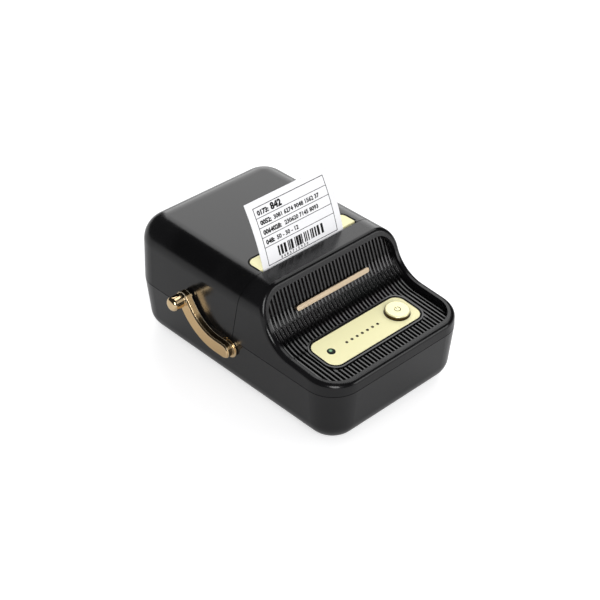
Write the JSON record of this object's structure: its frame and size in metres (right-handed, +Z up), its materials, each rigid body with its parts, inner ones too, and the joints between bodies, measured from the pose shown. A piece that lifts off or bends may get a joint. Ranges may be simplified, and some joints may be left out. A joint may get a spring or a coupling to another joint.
{
  "type": "label printer",
  "caption": "Desktop thermal label printer with a hinged lid, ribbed scooped front, side lever, power button, tear plate and an internal roll, platen and gear feed.",
  "frame": {"origin": "on the table under the middle of the casing", "axes": "+X right, +Y back, +Z up, seen from the front"},
  "size_m": [0.0994, 0.1384, 0.0912],
  "materials": {
    "casing": "glossy black moulding",
    "grille": "satin black moulding",
    "gold_plate": "pale gold anodised sheet",
    "gold_lever": "satin gold coating",
    "button_cap": "pale gold coated cap",
    "lamp": "clear green light pipe",
    "label_paper": "coated white label stock",
    "core_card": "wound card",
    "rubber": "soft black rubber",
    "steel": "plain steel",
    "sheet_steel": "zinc plated sheet",
    "sink": "extruded aluminium",
    "ceramic": "glazed ceramic strip",
    "nylon": "natural white gear plastic",
    "bush": "dark bearing plastic",
    "inner_plastic": "dark grey moulding",
    "board": "green solder mask",
    "chip": "dark component body",
    "battery": "blue shrink wrap"
  },
  "bodies": {
    "base": {"base_shell": "casing", "front_shell": "casing", "grille_panel": "grille", "control_plate": "gold_plate", "name_bar": "gold_plate", "lamp_lens": "lamp", "label_web": "label_paper", "lever_bush": "gold_lever", "hinge_pin": "steel", "idler_stud": "steel", "stepper_motor": "sheet_steel", "thermal_head": "ceramic", "head_heatsink": "sink", "head_spring": "steel", "mech_frame": "sheet_steel", "roll_cradle": "inner_plastic", "gap_sensor": "chip", "main_board": "board", "tact_switch": "chip", "status_led": "lamp", "usb_socket": "steel", "battery_pack": "battery", "case_screws": "steel", "board_screws": "steel", "mech_screws": "steel", "foot_ring": "rubber"},
    "lid": {"lid_shell": "casing", "tear_plate": "gold_plate", "platen_bracket": "sheet_steel", "platen_bushes": "bush", "bracket_screws": "steel"},
    "lever": {"lever_arm": "gold_lever", "lever_knob": "gold_lever", "lever_shaft": "steel", "release_arm": "inner_plastic"},
    "button": {"power_button": "button_cap"},
    "platen": {"platen_roller": "rubber", "platen_shaft": "steel", "platen_gear": "nylon"},
    "idler": {"idler_gear": "nylon"},
    "pinion": {"motor_pinion": "steel"},
    "roll": {"label_roll": "label_paper", "roll_core": "core_card"},
    "label": {"printed_label": "label_paper"}
  },
  "joints": [
    {"name": "lid_hinge", "type": "hinge", "parent": "base", "child": "lid", "pos_m": [0, 0.067, 0.032], "axis": [-1, 0, 0], "range_deg": [0, 80]},
    {"name": "lever_hinge", "type": "hinge", "parent": "base", "child": "lever", "pos_m": [-0.045, -0.0022, 0.0242], "axis": [1, 0, 0], "range_deg": [0, 28], "stiffness_Nm_per_rad": 0.05, "springref_deg": -11.46},
    {"name": "power_press", "type": "slide", "parent": "base", "child": "button", "axis": [0, 0.0872, -0.9962], "range_m": [0, 0.0006], "stiffness_N_per_m": 800, "springref_m": -0.0003},
    {"name": "roll_spin", "type": "hinge", "parent": "base", "child": "roll", "pos_m": [-0.0035, 0.032, 0.0315], "axis": [-1, 0, 0], "continuous": true},
    {"name": "platen_spin", "type": "hinge", "parent": "lid", "child": "platen", "pos_m": [0, -0.00599, 0.05297], "axis": [-1, 0, 0], "continuous": true},
    {"name": "idler_spin", "type": "hinge", "parent": "base", "child": "idler", "pos_m": [0, -0.00866, 0.04224], "axis": [-1, 0, 0], "continuous": true},
    {"name": "pinion_spin", "type": "hinge", "parent": "base", "child": "pinion", "pos_m": [0, -0.01404, 0.0356], "axis": [-1, 0, 0], "continuous": true},
    {"name": "label_lift", "type": "slide", "parent": "base", "child": "label", "axis": [0, 0.2419, 0.9703], "range_m": [0, 0.03]}
  ],
  "couplings": [
    {"joint": "platen_spin", "follows": "roll_spin", "ratio": 4.5},
    {"joint": "idler_spin", "follows": "roll_spin", "ratio": -3.75},
    {"joint": "pinion_spin", "follows": "roll_spin", "ratio": 9}
  ]
}
